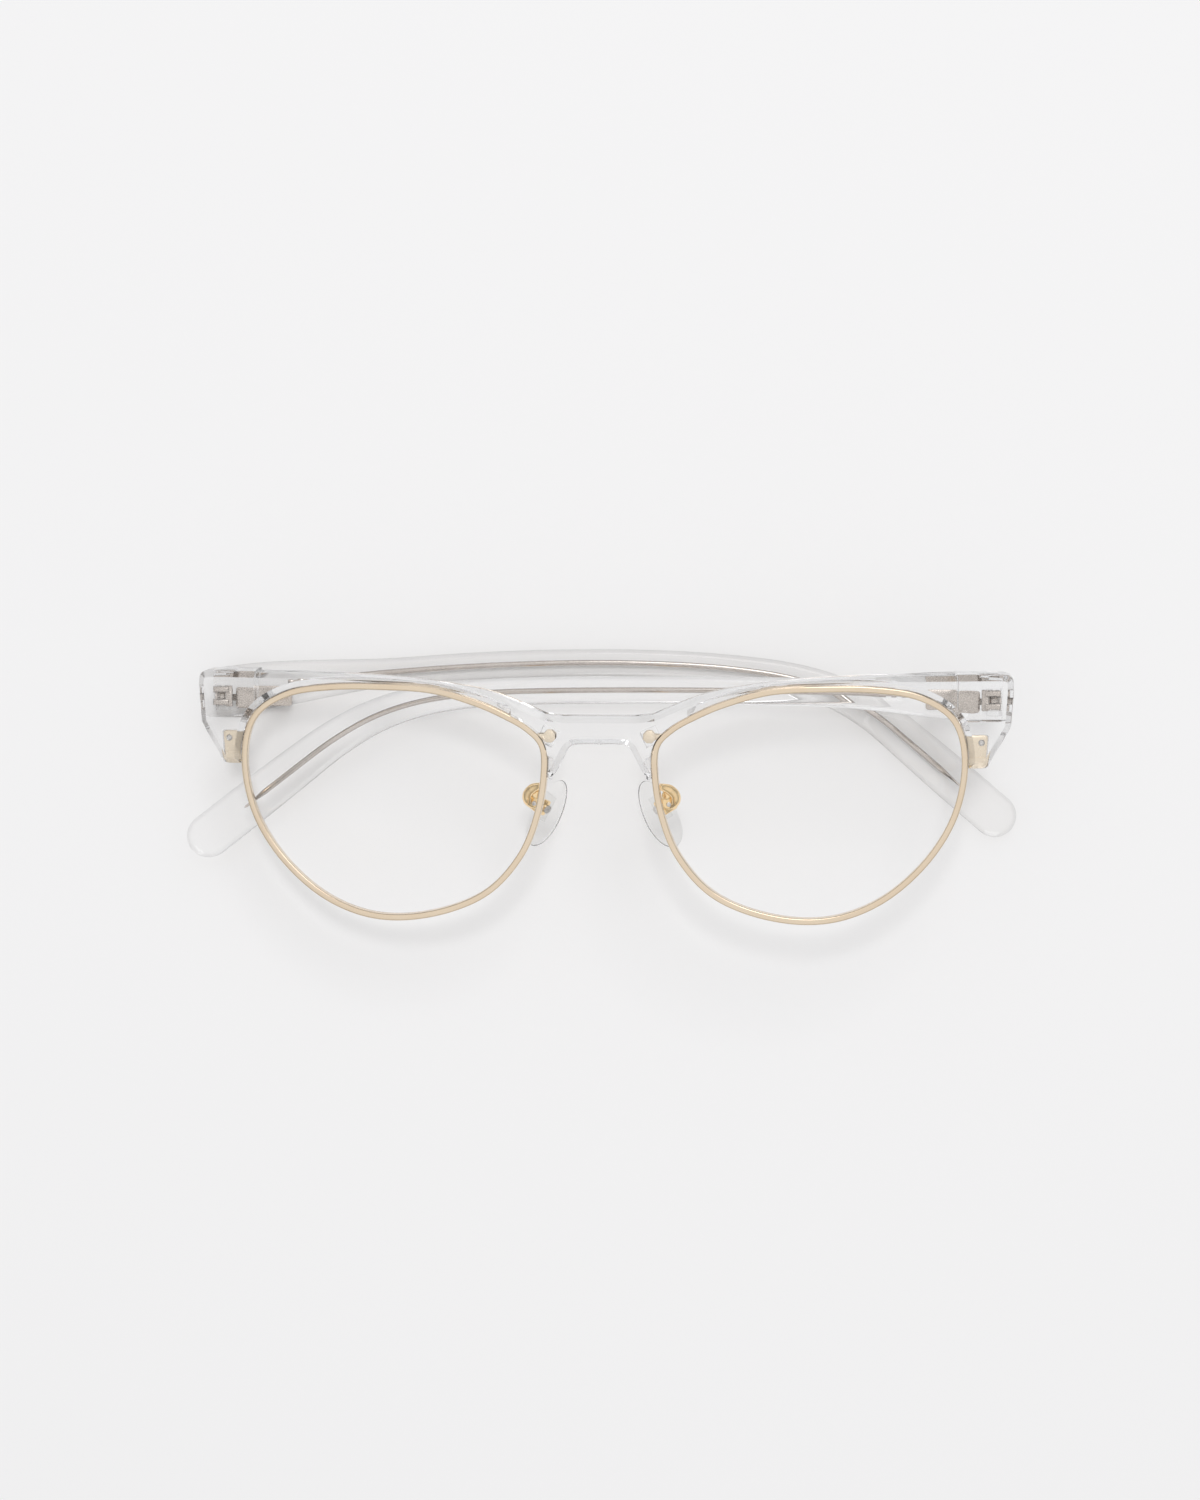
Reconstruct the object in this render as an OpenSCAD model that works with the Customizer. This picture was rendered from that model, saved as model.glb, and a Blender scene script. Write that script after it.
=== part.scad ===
// Browline reading glasses, folded and lying face up on the outer face of the left temple.
// X runs across the front, Y up the face, Z out of the front. Left is the -X side, as seen from the front.
// The row's origin lies on the face that rests on the table, at the middle of the left temple.

/* [Front] */
// Width of each end piece beyond its lens
end_w = 8.7; // [8:0.1:9.6]
// Radius that the front is curved to
front_r = 350; // [300:10:500]
// Thickness of the acetate front
front_t = 3.8; // [3.6:0.1:4.4]
// Lean of the lower edge towards the wearer, in degrees
front_lean = 6; // [3:0.5:8]
// Room between the curved front and the rear of the end pieces, in which the temples fold
fold_room = 4.13; // [3.9:0.01:5]
// Height of the brow line above the hinge line, at the end pieces
brow_h = 3.4; // [2.8:0.1:4]
// Height of the bridge, from its top edge to the arch below it
bridge_h = 4.9; // [4:0.1:6]
// Depth of the bridge's top edge below the hinge line
bridge_drop = 3.6; // [3:0.1:4.2]

/* [Lenses and rims] */
// Width of each lens
lens_w = 52; // [48:0.5:54]
// Height of each lens
lens_h = 39; // [34:0.5:44]
// Distance between the two lenses
lens_gap = 19.6; // [18:0.2:23]
// Height of the lenses' top edge above the hinge line
lens_top = 0.6; // [0:0.1:1]
// Thickness of a lens
lens_t = 1.6; // [1.2:0.1:1.9]
// Width of the rim wire, seen from the front
rim_w = 1.35; // [1.2:0.05:1.8]
// Depth of the rim wire, front to back
rim_d = 2.4; // [2.2:0.1:3]
// How far the rim's front lies behind the acetate's front
rim_inset = 0.5; // [0.3:0.1:0.9]

/* [Temples] */
// Length of a temple, from its hinge pin along its middle to its tip
temple_l = 148; // [140:0.5:149]
// Thickness of a temple
temple_t = 3.2; // [2.8:0.1:3.4]
// Height of a temple at its hinge
root_h = 8.5; // [7.5:0.1:9]
// Height of a temple along its slim middle
mid_h = 4.8; // [4.2:0.1:4.8]
// Height of a temple at its rounded tip
tip_h = 7.6; // [6.5:0.1:7.6]
// Angle by which the left temple, folded over the other one, stands off the front
fold_left = 4.6; // [4.6:0.1:6]
// Angle by which the right temple, folded first, leans in to the front
fold_right = 2.5; // [2.5:0.1:3]
// Width and thickness of the metal core in a temple
core_w = 1.25; // [1:0.05:1.5]

/* [Hinges] */
// Distance of each hinge pin in from the side of its end piece
pin_in = 3.9; // [3.6:0.1:4.2]
// Diameter of a hinge's knuckles
knuckle_d = 2.7; // [2.4:0.1:3]
// Height of the three knuckles together
knuckle_h = 3.2; // [3:0.1:4]
// Diameter of a hinge screw's shank
hinge_screw_d = 1.1; // [0.9:0.1:1.4]

/* [Nose pads] */
// Length of a nose pad
pad_l = 12.6; // [11:0.2:14]
// Width of a nose pad
pad_w = 7.6; // [6.5:0.1:8.4]
// Thickness of a nose pad
pad_t = 2.2; // [1.8:0.1:2.6]
// Diameter of the wire that the pad arms are bent from
arm_d = 1.1; // [0.9:0.05:1.3]

/* [Hidden] */

// Clearances and overruns
fit = 0.05;
slack = 0.3;
over = 1;

// Finishes
clear = [0.93, 0.94, 0.95, 0.45];
glass = [0.85, 0.9, 0.93, 0.3];
gold = [0.87, 0.74, 0.52];
bright_gold = [0.9, 0.72, 0.42];
silver = [0.76, 0.73, 0.71];

// Lens outline: shares of half its width and half its height, from the outer side down and round the nose
lens_shares = [
    [1.00, 0.36], [0.94, -0.08], [0.775, -0.46], [0.52, -0.78], [0.235, -0.96],
    [-0.06, -1.00], [-0.385, -0.915], [-0.65, -0.735], [-0.85, -0.42], [-0.955, -0.06],
    [-0.995, 0.28], [-0.985, 0.51], [-0.895, 0.645], [-0.76, 0.75], [-0.56, 0.865],
    [-0.26, 0.975], [0.08, 1.00], [0.425, 0.99], [0.72, 0.92], [0.935, 0.72]
];
lens_steps = 5;
lens_x = (lens_gap + lens_w) / 2;
lens_drop = lens_h / 2 - lens_top;
lens_lip = 0.35;
lens_play = 0.08;
lens_inset = rim_inset + (rim_d - lens_t) / 2;
rim_chamfer = 0.22;
rim_out = rim_w - lens_lip;

// End pieces, brow and bridge
end_x = lens_gap / 2 + lens_w + end_w;
pin_x = end_x - pin_in;
end_depth = rim_inset + rim_d + fold_room - dip(end_x);
end_low = 12.8;
end_side = 5.6;
block_in = 10;
block_low = 4.9;
shoulder_in = 0.6;
arch_in = 3.6;
leg_in = 1;
bridge_top_x = lens_gap / 2 - shoulder_in;
arch_x = lens_gap / 2 - arch_in;
leg_low = 14.3;
leg_x = lens_gap / 2 - leg_in;
arch_shares = [[1.34, 1], [1.18, 0.79], [1.02, 0.45], [0.82, 0.085], [0.52, 0], [0, 0]];
arch_steps = 4;
end_shares = [[0.1, 0], [0.36, 0.29], [0.72, 0.64], [1, 0.95]];
end_steps = 2;
brow_steps = 5;
sheet_sides = 720;

// Hinges
rear_gap = 1.9;
pin_z = -(end_depth + rear_gap);
inner_w = 0.9;
outer_w = inner_w + temple_t;
root_end = 1.6;
root_slant = 5;
leaf_t = 1.0;
leaf_h = 3.6;
leaf_proud = 0.4;
temple_leaf_in = 2.4;
temple_leaf_l = 8.6;
web_out = 0.45;
prong_l = 1.6;
strip_w = 0.6;
screw_head_d = 2;
screw_head_h = 0.35;
knuckle_gap = 0.06;
middle_knuckle_h = knuckle_h * 0.36;
prong_h = (knuckle_h - middle_knuckle_h) / 2 - knuckle_gap;
pin_run = 0.04;

// Temple paths: shares of the length against the heading in degrees, upwards positive
left_heading_shares = [
    [0, 8.0], [0.136, 6.4], [0.305, 3.3], [0.42, 1.0], [0.545, -2.6], [0.641, -8.2],
    [0.702, -17.2], [0.756, -29], [0.81, -40], [1, -40.5]
];
right_heading_shares = [
    [0, 1.9], [0.136, 1.0], [0.305, 0.3], [0.447, -0.6], [0.556, -1.9], [0.637, -7.6],
    [0.698, -18], [0.752, -30], [0.813, -38], [1, -38.5]
];
left_root_v = 0.9;
right_root_v = 0.5;
path_step = 1.5;
root_flat = 2;
root_taper = 30;
tip_start = 84;
tip_taper = 54;
tip_arc_steps = 14;
core_start = 10.6;
core_end = 131;
core_point = 4.5;
core_teeth = 9;
tooth_shares = [0.02, 0.98];
tooth_pitch = 0.9;
tooth_depth = 0.16;

// Rim lugs on the temple side
lug_w = 3.7;
lug_x = lens_x + lens_w / 2 + rim_out + 0.865 * lug_w;
lug_edge = 0.2;
lug_low = 12.3;
lug_h = 5.2;
lug_t = 1.7;
lug_back = 2.0;
lug_pin_d = 1.0;
lug_seam = 0.2;
lug_seam_y = 1.5;
lug_reach = lug_x - lens_x - lens_w / 4;
rim_screw_d = 0.9;
rim_screw_l = 3.2;
rim_screw_head_d = 1.4;
rim_screw_head_h = 0.4;

// Bridge pegs
peg_d = 2.6;
peg_in = 0.6;
peg_y = 7.1;

// Nose pads
pad_out = 0.6;
pad_x = lens_gap / 2 + pad_out;
pad_y = 21;
pad_z = 8.8;
pad_face = 45;
pad_splay = 28;
pad_sides = 40;
mount_up = 1;
mount_w = 2.2;
mount_h = 1.9;
mount_t = 1.5;
flange_l = 4.6;
flange_w = 3;
flange_t = 0.3;
pad_screw_d = 0.8;
pad_screw_head_d = 1.5;
pad_screw_head_h = 0.35;
cup_wall = 0.5;
cup_play = 0.12;
cup_low = 0.35;
cup_l = 2.8;
arm_y = 15.8;
arm_sides = 10;
arm_steps = 5;
arm_ref = [0.55, 0.83, 0];

$fn = 48;

// Smooth step from 0 to 1
function ease(t) = t <= 0 ? 0 : t >= 1 ? 1 : t * t * (3 - 2 * t);
// Depth of the curved front at a distance from its middle
function dip(x) = sqrt(front_r * front_r - x * x) - front_r;
// Point on a smooth curve through four points
function curve_point(a, b, c, d, t) =
    0.5 * (2 * b + (c - a) * t + (2 * a - 5 * b + 4 * c - d) * t * t + (3 * b - a - 3 * c + d) * t * t * t);
// Closed smooth curve through points
function closed_curve(p, steps) = [
    for (i = [0 : len(p) - 1]) for (j = [0 : steps - 1])
        curve_point(p[(i + len(p) - 1) % len(p)], p[i], p[(i + 1) % len(p)], p[(i + 2) % len(p)], j / steps)
];
// Open smooth curve through points
function open_curve(p, steps) = concat([
    for (i = [0 : len(p) - 2]) for (j = [0 : steps - 1])
        curve_point(p[max(i - 1, 0)], p[i], p[i + 1], p[min(i + 2, len(p) - 1)], j / steps)
], [p[len(p) - 1]]);
// Unit normal that points out of a clockwise outline
function normal_at(p, i) =
    let (t = p[(i + 1) % len(p)] - p[(i + len(p) - 1) % len(p)]) [-t.y, t.x] / norm(t);
// Outline moved outwards
function grown(p, d) = [for (i = [0 : len(p) - 1]) p[i] + d * normal_at(p, i)];

// Edge of the right lens
lens_edge = closed_curve(
    [for (q = lens_shares) [lens_x + q.x * lens_w / 2, -lens_drop + q.y * lens_h / 2]], lens_steps);

// Nose side of the lens: distance across against height
nasal_edge = [for (i = [8 * lens_steps : 12 * lens_steps]) [lens_edge[i].y, lens_edge[i].x]];

// Middle line of a temple, as points with their heading
function temple_path(heading, root_v) =
    let (n = round(temple_l / path_step), step = temple_l / n)
    let (before = [-root_end, root_v - root_end * tan(lookup(0, heading)), lookup(0, heading), -root_end])
    concat([before], [
        for (i = 0, p = [0, root_v]; i <= n;
             p = p + step * [cos(lookup((i + 0.5) / n, heading)), sin(lookup((i + 0.5) / n, heading))],
             i = i + 1)
            [p.x, p.y, lookup(i / n, heading), i * step]
    ]);
// Height of a temple at a distance along it
function temple_h(s) =
    mid_h + (root_h - mid_h) * (1 - ease((s - root_flat) / root_taper))
    + (tip_h - mid_h) * ease((s - tip_start) / tip_taper);
function beside(q, d) = [q.x - d * sin(q[2]), q.y + d * cos(q[2])];
// Outline of a temple with its round tip
function temple_outline(path) =
    let (r = tip_h / 2)
    let (body = [for (q = path) if (q[3] <= temple_l - r) q])
    let (end = body[len(body) - 1])
    concat(
        [for (q = body) beside(q, temple_h(q[3]) / 2)],
        [for (k = [1 : tip_arc_steps - 1])
            let (a = end[2] + 90 - 180 * k / tip_arc_steps)
            [end.x, end.y] + temple_h(end[3]) / 2 * [cos(a), sin(a)]],
        [for (i = [len(body) - 1 : -1 : 0]) beside(body[i], -temple_h(body[i][3]) / 2)]
    );
// Outline of a temple's metal core, serrated at its root and pointed at its end
function core_half(s, grow) =
    let (tooth = (s - core_start) / tooth_pitch)
    grow + (s > core_end - core_point ? core_w / 2 * (core_end - s) / core_point
        : tooth < core_teeth && floor(tooth) % 2 == 1 ? core_w / 2 - tooth_depth : core_w / 2);
function path_at(path, s) =
    let (i = max([for (k = [1 : len(path) - 2]) if (path[k][3] <= s) k]))
    let (f = (s - path[i][3]) / (path[i + 1][3] - path[i][3]))
    path[i] + f * (path[i + 1] - path[i]);
function core_stations(ends) = concat(
    [for (k = [0 : core_teeth - 1]) for (f = tooth_shares) core_start + (k + f) * tooth_pitch],
    [for (s = [core_start + core_teeth * tooth_pitch + over : 2 * path_step : core_end - core_point]) s],
    [core_end - core_point, core_end + ends]
);
function core_outline(path, grow) =
    let (st = core_stations(grow))
    let (half = [for (s = st) max(core_half(s, grow), grow / 2 + fit / 5)])
    concat(
        [for (i = [0 : len(st) - 1]) beside(path_at(path, st[i]), half[i])],
        [for (i = [len(st) - 1 : -1 : 0]) beside(path_at(path, st[i]), -half[i])]
    );

left_path = temple_path(left_heading_shares, left_root_v);
right_path = temple_path(right_heading_shares, right_root_v);
rest_v = path_at(left_path, pin_x)[1];

// Frames: the row, the two hinge lines, the leaning front, and each temple
module row() {
    lift = outer_w + pin_x * sin(fold_left) - pin_z * cos(fold_left);
    translate([0, -rest_v, lift]) rotate([0, -fold_left, 0]) children();
}
module leaning() { rotate([front_lean, 0, 0]) children(); }
module front() { row() leaning() children(); }
module side(s) { mirror([s == "left" ? 1 : 0, 0, 0]) children(); }
module at_pin(s) {
    if (s == "left") translate([-pin_x, 0, pin_z]) children();
    else translate([pin_x, 0, pin_z]) children();
}
module at_temple(s) {
    row() at_pin(s)
        if (s == "left") rotate([0, fold_left, 0]) children();
        else mirror([1, 0, 0]) rotate([0, -fold_right, 0]) children();
}
// Local frame on the curved front, with its depth measured from the front face
module on_sheet(x, y, depth) {
    translate([x, y, dip(x)]) rotate([0, asin(x / front_r), 0]) translate([0, 0, -depth]) children();
}
module y_cylinder(r, h) { rotate([90, 0, 0]) cylinder(r = r, h = h, center = true); }
// The part of space between two depths under the curved front
module sheet(top, bottom) {
    reach = 2 * lens_h + 4 * lens_drop;
    difference() {
        translate([0, 0, -front_r - top]) y_cylinder(front_r, reach, $fn = sheet_sides);
        translate([0, 0, -front_r - bottom]) y_cylinder(front_r, reach + over, $fn = sheet_sides);
    }
}
module prism(points, low, high) { translate([0, 0, low]) linear_extrude(high - low) polygon(points); }

// Outline of the right half of the acetate front, from the middle of the bridge outwards
crown_low = bridge_drop + bridge_h;
brow_line = open_curve([
    [bridge_top_x, -bridge_drop + 0.1 * brow_h],
    [lens_x - 0.72 * lens_w / 2, -bridge_drop + 1.05 * brow_h],
    [lens_x - 0.44 * lens_w / 2, 0.45 * brow_h],
    [lens_x - 0.05 * lens_w / 2, 0.8 * brow_h],
    [lens_x + 0.4 * lens_w / 2, 0.97 * brow_h],
    [end_x - block_in, brow_h]
], brow_steps);
front_points = concat(
    [[0, -bridge_drop], [bridge_top_x - arch_x / 2, -bridge_drop]],
    brow_line,
    [[end_x - 0.25 * brow_h, brow_h], [end_x, 0.75 * brow_h], [end_x, 0]],
    open_curve([for (q = end_shares)
        [end_x - q.x * (end_x - lug_x - lug_edge), -end_side - q.y * (end_low - end_side)]], end_steps),
    [[lug_x + lug_edge - 0.2 * brow_h, -end_low],
     [lens_x + 0.5 * lens_w, -end_low], [lens_x, -lens_drop], [leg_x, -leg_low]],
    open_curve([for (q = arch_shares) [q.x * arch_x, -crown_low - q.y * (leg_low - crown_low)]], arch_steps)
);

module front_half() {
    difference() {
        union() {
            intersection() {
                sheet(0, front_t);
                prism(front_points, -end_depth, over);
            }
            // Deep block that carries the hinge, with its rear face square to the hinge line
            intersection() {
                sheet(front_t / 2, 2 * end_depth);
                prism([[end_x - block_in, brow_h], [end_x - 0.25 * brow_h, brow_h],
                    [end_x, 0.75 * brow_h], [end_x, 0], [end_x - 0.13 * brow_h, -block_low],
                    [end_x - block_in, -block_low]], -2 * end_depth, over);
                rotate([-front_lean, 0, 0]) translate([0, -end_x, -end_depth])
                    cube([2 * end_x, 2 * end_x, 2 * end_depth]);
            }
        }
        prism(grown(lens_edge, rim_out + fit), -2 * end_depth, over);
    }
}

module front_acetate() {
    color(clear) front() difference() {
        union() {
            front_half();
            mirror([1, 0, 0]) front_half();
        }
        for (s = ["left", "right"]) {
            side(s) {
                // Pocket and pin hole for the rim's lug, and bore for the bridge peg
                lug_place() translate([-lug_reach - over, -lug_low, -front_t - over])
                    cube([lug_reach + over + fit, lug_low + lug_h + fit, front_t + over + fit]);
                lug_pin_place() cylinder(d = lug_pin_d + 2 * fit, h = lug_t + lug_back / 2 + fit, $fn = 24);
                peg_place() translate([0, 0, -front_t])
                    cylinder(d = peg_d + 2 * fit, h = front_t + rim_d + fit, $fn = 8);
            }
            // Seat for the front leaf of the hinge: two slots for its prongs and one for its strip
            rotate([-front_lean, 0, 0]) at_pin(s) side(s) {
                for (m = [0, 1]) mirror([0, m, 0])
                    translate([-knuckle_d / 2 - fit, middle_knuckle_h / 2 + knuckle_gap - fit, rear_gap - over])
                        cube([knuckle_d + 2 * fit, prong_h + 2 * fit, prong_l + fit + over]);
                translate([-knuckle_d / 2 - strip_w - fit, -leaf_h / 2 - fit, rear_gap - over])
                    cube([2 * strip_w + 2 * fit, leaf_h + 2 * fit, leaf_t + fit + over]);
            }
        }
    }
}

// Lens and rim

module lens(s) {
    color(glass) front() side(s) intersection() {
        sheet(lens_inset, lens_inset + lens_t);
        prism(lens_edge, -2 * end_depth, over);
    }
}

// Closed grooved wire: one ring of profile points for each point of the lens edge
module rim(s) {
    c = rim_chamfer;
    profile = [
        [rim_out - c, 0], [rim_out, -c], [rim_out, c - rim_d], [rim_out - c, -rim_d],
        [c - lens_lip, -rim_d], [-lens_lip, c - rim_d],
        [-lens_lip, -(rim_d + lens_t) / 2 - lens_play], [lens_play, -(rim_d + lens_t) / 2 - lens_play],
        [lens_play, -(rim_d - lens_t) / 2 + lens_play], [-lens_lip, -(rim_d - lens_t) / 2 + lens_play],
        [-lens_lip, -c], [c - lens_lip, 0]
    ];
    n = len(lens_edge);
    m = len(profile);
    points = [for (i = [0 : n - 1]) for (q = profile)
        let (p = lens_edge[i] + q.x * normal_at(lens_edge, i))
        [p.x, p.y, dip(p.x) - rim_inset + q.y]];
    faces = [for (i = [0 : n - 1]) for (j = [0 : m - 1])
        let (a = i * m + j, b = i * m + (j + 1) % m)
        let (e = (i + 1) % n * m + (j + 1) % m, d = (i + 1) % n * m + j)
        each [[a, b, e], [a, e, d]]];
    color(gold) front() side(s) polyhedron(points, faces);
}

// Lug plate on the temple side of the rim, its pin and the rim's closing screw

// The plate's frame lies at its outer lower corner
module lug_place() { on_sheet(lug_x, -lug_low, lug_back) children(); }
module lug_pin_place() {
    lug_place() translate([-0.32 * lug_w, 0.76 * lug_h, -lug_t]) children();
}
module rim_screw_place() {
    lug_place() translate([-0.45 * lug_w, 0, -lug_t / 2]) rotate([-90, 0, 0]) children();
}
module rim_lug(s) {
    color(gold) front() side(s) difference() {
        lug_place() translate([-lug_reach, 0, -lug_t]) cube([lug_reach, lug_h, lug_t]);
        prism(grown(lens_edge, rim_out + fit / 2), -2 * end_depth, over);
        lug_pin_place() translate([0, 0, -over])
            cylinder(d = lug_pin_d + 2 * fit, h = lug_t + 2 * over, $fn = 24);
        rim_screw_place() translate([0, 0, -over])
            cylinder(d = rim_screw_d + 2 * fit, h = rim_screw_l + over + fit, $fn = 24);
        // Seam of the closing block, front and back
        for (z = [0, -lug_t])
            lug_place() translate([-lug_reach / 2, lug_seam_y, z])
                cube([2 * lug_reach, lug_seam, 2 * lug_seam], center = true);
    }
}
module lug_pin(s) {
    color(silver) front() side(s) lug_pin_place() cylinder(d = lug_pin_d, h = lug_t + lug_back / 2, $fn = 24);
}
module rim_screw(s) {
    color(bright_gold) front() side(s) rim_screw_place() {
        cylinder(d = rim_screw_d, h = rim_screw_l, $fn = 24);
        translate([0, 0, -rim_screw_head_h]) cylinder(d = rim_screw_head_d, h = rim_screw_head_h, $fn = 24);
    }
}
// A peg is an eight-sided block on the rim's nose side, as deep as the rim, let into the bridge from behind
module peg_place() {
    on_sheet(lens_gap / 2 - peg_in, -peg_y, rim_inset + rim_d) rotate([0, 0, 180 / 8]) children();
}
module bridge_peg(s) {
    color(gold) front() side(s) difference() {
        peg_place() cylinder(d = peg_d, h = rim_d, $fn = 8);
        prism(grown(lens_edge, rim_out + fit / 2), -2 * end_depth, over);
    }
}

// Hinges

module knuckle(low, high) {
    translate([0, low, 0]) rotate([-90, 0, 0]) cylinder(d = knuckle_d, h = high - low);
}
module hinge_bore() { y_cylinder(hinge_screw_d / 2 + pin_run, 3 * knuckle_h); }
module front_hinge_leaf(s) {
    half = knuckle_h / 2;
    low = middle_knuckle_h / 2 + knuckle_gap;
    color(silver) row() at_pin(s) side(s) difference() {
        union() {
            for (m = [0, 1]) mirror([0, m, 0]) {
                knuckle(low, half);
                translate([-knuckle_d / 2, low, 0]) cube([knuckle_d / 2 + web_out, prong_h, rear_gap + prong_l]);
                translate([-knuckle_d / 2, low, rear_gap]) cube([knuckle_d, prong_h, prong_l]);
            }
            // Strip that joins the two prongs inside the acetate
            translate([-knuckle_d / 2 - strip_w, -leaf_h / 2, rear_gap]) cube([2 * strip_w, leaf_h, leaf_t]);
        }
        hinge_bore();
    }
}
module hinge_screw(s) {
    color(silver) row() at_pin(s) {
        translate([0, -knuckle_h / 2, 0]) rotate([-90, 0, 0])
            cylinder(d = hinge_screw_d, h = knuckle_h, $fn = 32);
        translate([0, knuckle_h / 2, 0]) rotate([-90, 0, 0])
            cylinder(d = screw_head_d, h = screw_head_h, $fn = 32);
    }
}
module temple_hinge_leaf(s) {
    half = middle_knuckle_h / 2;
    color(silver) at_temple(s) difference() {
        union() {
            knuckle(-half, half);
            translate([0, -half, -inner_w - leaf_t + leaf_proud])
                cube([temple_leaf_in + over, 2 * half, leaf_t]);
            translate([temple_leaf_in, -leaf_h / 2, -inner_w - leaf_t + leaf_proud])
                cube([temple_leaf_l, leaf_h, leaf_t]);
        }
        hinge_bore();
    }
}

// Temples

// Core, or with a clearance the channel that it lies in
module core_plate(path, grow) {
    middle = -inner_w - temple_t / 2;
    prism(core_outline(path, grow), middle - core_w / 2 - grow, middle + core_w / 2 + grow);
}
module temple_body(path) {
    difference() {
        prism(temple_outline(path), -outer_w, -inner_w);
        // Root face, slanted so that it meets the end piece squarely when open
        translate([-root_end, 0, -inner_w]) rotate([0, -root_slant, 0])
            translate([-2 * over, -root_h, -2 * temple_t]) cube([2 * over, 2 * root_h, 3 * temple_t]);
        // Room for the knuckles
        y_cylinder(knuckle_d / 2 + slack, knuckle_h + 2 * screw_head_h + 2 * slack);
        // Seat of the hinge leaf and channel of the core
        translate([-over, -middle_knuckle_h / 2 - fit, -inner_w - leaf_t + leaf_proud - fit])
            cube([temple_leaf_in + 2 * over, middle_knuckle_h + 2 * fit, leaf_t + over]);
        translate([temple_leaf_in - fit, -leaf_h / 2 - fit, -inner_w - leaf_t + leaf_proud - fit])
            cube([temple_leaf_l + 2 * fit, leaf_h + 2 * fit, leaf_t + over]);
        core_plate(path, fit);
    }
}
module temple_core(s) {
    color(silver) at_temple(s) core_plate(s == "left" ? left_path : right_path, 0);
}
module temple(s) {
    color(clear) at_temple(s) temple_body(s == "left" ? left_path : right_path);
}

// Nose pads on their arms

// Pad frame: X up the pad, Y across it towards its back edge, Z out of the face that touches the nose
module pad_place() {
    translate([pad_x, -pad_y, -pad_z]) rotate([0, 0, pad_splay]) rotate([0, -90 - pad_face, 0])
        rotate([0, 0, 90]) children();
}
function pad_point(q) =
    let (a = -90 - pad_face, v = [-q.y, q.x, q.z])
    let (w = [v.x * cos(a) + v.z * sin(a), v.y, v.z * cos(a) - v.x * sin(a)])
    [pad_x + w.x * cos(pad_splay) - w.y * sin(pad_splay), w.x * sin(pad_splay) + w.y * cos(pad_splay) - pad_y,
     w.z - pad_z];
mount_mid = -flange_t - mount_t / 2;
cup_floor = -flange_t - mount_t - 2 * cup_play;
module pad_pin_axis() { translate([mount_up, 0, mount_mid]) rotate([90, 0, 0]) children(); }

module nose_pad(s) {
    bulge = (pad_l * pad_l / 4 + pad_t * pad_t) / (2 * pad_t);
    color(clear) front() side(s) pad_place() intersection() {
        translate([0, 0, pad_t - bulge]) sphere(r = bulge);
        prism([for (k = [0 : pad_sides - 1])
            let (a = 360 * k / pad_sides) [pad_l / 2 * cos(a), pad_w / 2 * sin(a)]], 0, pad_t);
    }
}
// Metal insert of the pad: a flange against its back and a pierced block
module pad_mount(s) {
    color(bright_gold) front() side(s) pad_place() difference() {
        union() {
            translate([mount_up - flange_l / 2, -flange_w / 2, -flange_t]) cube([flange_l, flange_w, flange_t]);
            translate([mount_up - mount_w / 2, -mount_h / 2, -flange_t - mount_t])
                cube([mount_w, mount_h, mount_t]);
        }
        pad_pin_axis() cylinder(d = pad_screw_d + 2 * pin_run, h = 2 * flange_l, center = true, $fn = 32);
    }
}
module pad_screw(s) {
    reach = mount_h / 2 + cup_play + cup_wall;
    color(bright_gold) front() side(s) pad_place() pad_pin_axis() {
        cylinder(d = pad_screw_d, h = 2 * reach, center = true, $fn = 32);
        translate([0, 0, reach]) cylinder(d = pad_screw_head_d, h = pad_screw_head_h, $fn = 32);
    }
}
// Swept wire: rings of a circle square to the route
module wire(route, d) {
    n = len(route);
    points = [for (i = [0 : n - 1])
        let (t = route[min(i + 1, n - 1)] - route[max(i - 1, 0)])
        let (u = cross(t, arm_ref) / norm(cross(t, arm_ref)), v = cross(u, t) / norm(t))
        for (k = [0 : arm_sides - 1])
            route[i] + d / 2 * (cos(360 * k / arm_sides) * u + sin(360 * k / arm_sides) * v)];
    faces = concat(
        [[for (k = [arm_sides - 1 : -1 : 0]) k]],
        [for (i = [0 : n - 2]) for (k = [0 : arm_sides - 1])
            let (a = i * arm_sides + k, b = i * arm_sides + (k + 1) % arm_sides)
            each [[a, b, a + arm_sides], [b, b + arm_sides, a + arm_sides]]],
        [[for (k = [0 : arm_sides - 1]) (n - 1) * arm_sides + k]]
    );
    polyhedron(points, faces);
}
// Wire arm from the back of the rim, out behind the lens and round to a forked cup
module pad_arm(s) {
    rim_x = lookup(-arm_y, nasal_edge) - (rim_out - lens_lip) / 2;
    rim_back = dip(rim_x) - rim_inset - rim_d;
    foot = [rim_x, -arm_y, rim_back - fit / 2];
    cup = pad_point([mount_up, 0, cup_floor - cup_wall / 2]);
    out = pad_point([mount_up, 0, cup_floor - 2 * arm_d]);
    route = concat([foot], open_curve([
        foot - [0, 0, arm_d / 4], foot - [0, 0, arm_d],
        [(foot.x + out.x) / 2 + 0.8 * arm_d, (2 * foot.y + out.y) / 3 - 0.5 * arm_d, rim_back - 2 * arm_d],
        [out.x + 0.4 * arm_d, out.y + 0.5 * arm_d, (rim_back + out.z) / 2 - 0.6 * arm_d],
        out, cup
    ], arm_steps));
    color(bright_gold) front() side(s) {
        wire(route, arm_d);
        pad_place() difference() {
            translate([mount_up - cup_l / 2, -mount_h / 2 - cup_play - cup_wall, cup_floor - cup_wall])
                cube([cup_l, mount_h + 2 * cup_play + 2 * cup_wall, mount_t + 2 * cup_play + cup_wall - cup_low]);
            translate([mount_up - cup_l, -mount_h / 2 - cup_play, cup_floor])
                cube([2 * cup_l, mount_h + 2 * cup_play, mount_t + over]);
            pad_pin_axis() cylinder(d = pad_screw_d + 2 * fit, h = 2 * flange_l, center = true, $fn = 32);
        }
    }
}

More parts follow.
